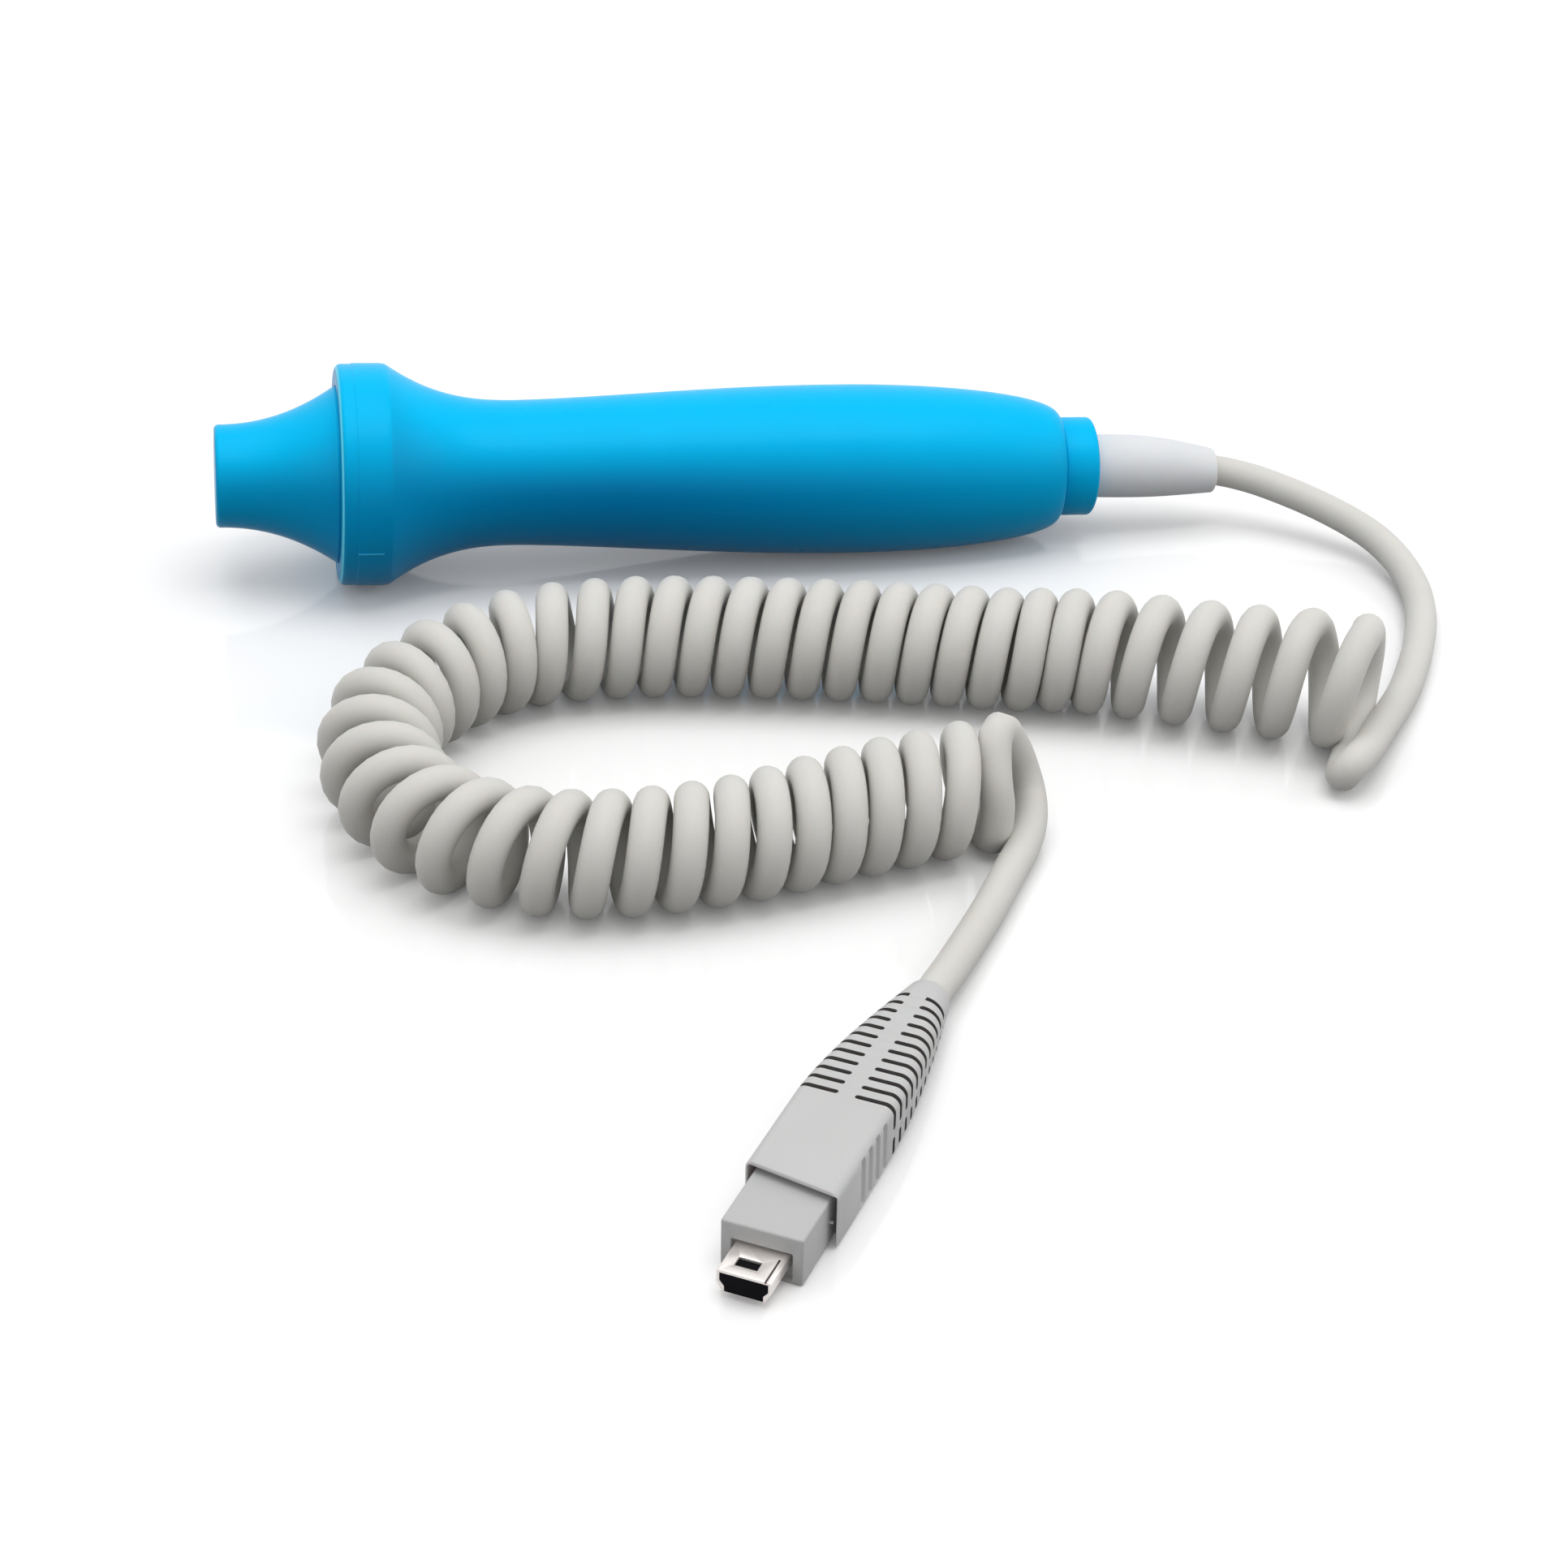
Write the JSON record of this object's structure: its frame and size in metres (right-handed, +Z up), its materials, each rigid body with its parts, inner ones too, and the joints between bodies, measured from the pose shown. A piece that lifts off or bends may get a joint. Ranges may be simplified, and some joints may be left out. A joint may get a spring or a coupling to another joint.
{
  "type": "doppler probe",
  "caption": "Hand-held ultrasonic flow probe with a round nose, flange and waisted grip, and a coiled cord that ends in a small moulded plug.",
  "frame": {"origin": "on the surface it lies on, under the middle of the probe from nose face to strain relief", "axes": "+X along the probe from its nose to its cord, +Y to the far side from the cord, +Z up"},
  "size_m": [0.1859, 0.2022, 0.0345],
  "materials": {
    "blue_plastic": "satin moulded blue",
    "relief_grey": "matt flexible light grey",
    "cord_grey": "matt flexible warm grey jacket",
    "plug_grey": "matt moulded grey",
    "block_grey": "matt moulded cool grey",
    "nickel": "nickel plate",
    "black_plastic": "plain moulded black",
    "gold_plate": "thin gold plate",
    "crystal_ceramic": "fired ceramic",
    "absorber_resin": "cast loaded resin",
    "cork_sheet": "raw cork sheet",
    "white_plastic": "plain moulded white",
    "board_green": "lacquered glass-fibre board",
    "seal_rubber": "plain black rubber",
    "enamelled_copper": "enamelled copper wire"
  },
  "bodies": {
    "root": {"nose_cone": "blue_plastic", "handle_body": "blue_plastic", "tail_collar": "blue_plastic", "strain_relief": "relief_grey", "lead_probe_end": "cord_grey", "cord_coil": "cord_grey", "lead_plug_end": "cord_grey", "cord_jacket_end": "cord_grey", "plug_boot": "plug_grey", "plug_front_block": "block_grey", "plug_tongue": "nickel", "plug_insulator": "black_plastic", "front_seal": "seal_rubber", "rear_seal": "seal_rubber", "transmit_crystal": "crystal_ceramic", "receive_crystal": "crystal_ceramic", "transmit_backing": "absorber_resin", "receive_backing": "absorber_resin", "crystal_divider": "cork_sheet", "shield_can": "nickel", "crystal_carrier": "white_plastic", "transmit_lead": "enamelled_copper", "receive_lead": "enamelled_copper", "front_carrier": "white_plastic", "rear_carrier": "white_plastic", "circuit_board": "board_green", "driver_chip": "black_plastic", "preamp_chip": "black_plastic", "oscillator_can": "nickel", "transmit_coil": "enamelled_copper", "receive_coil": "enamelled_copper", "filter_capacitor": "nickel", "wire_header": "white_plastic", "cord_clamp": "nickel", "conductor_1": "enamelled_copper", "conductor_2": "enamelled_copper", "conductor_3": "enamelled_copper", "conductor_4": "enamelled_copper", "plug_contact_1": "gold_plate", "plug_contact_2": "gold_plate", "plug_contact_3": "gold_plate", "plug_contact_4": "gold_plate", "plug_contact_5": "gold_plate"}
  },
  "joints": []
}
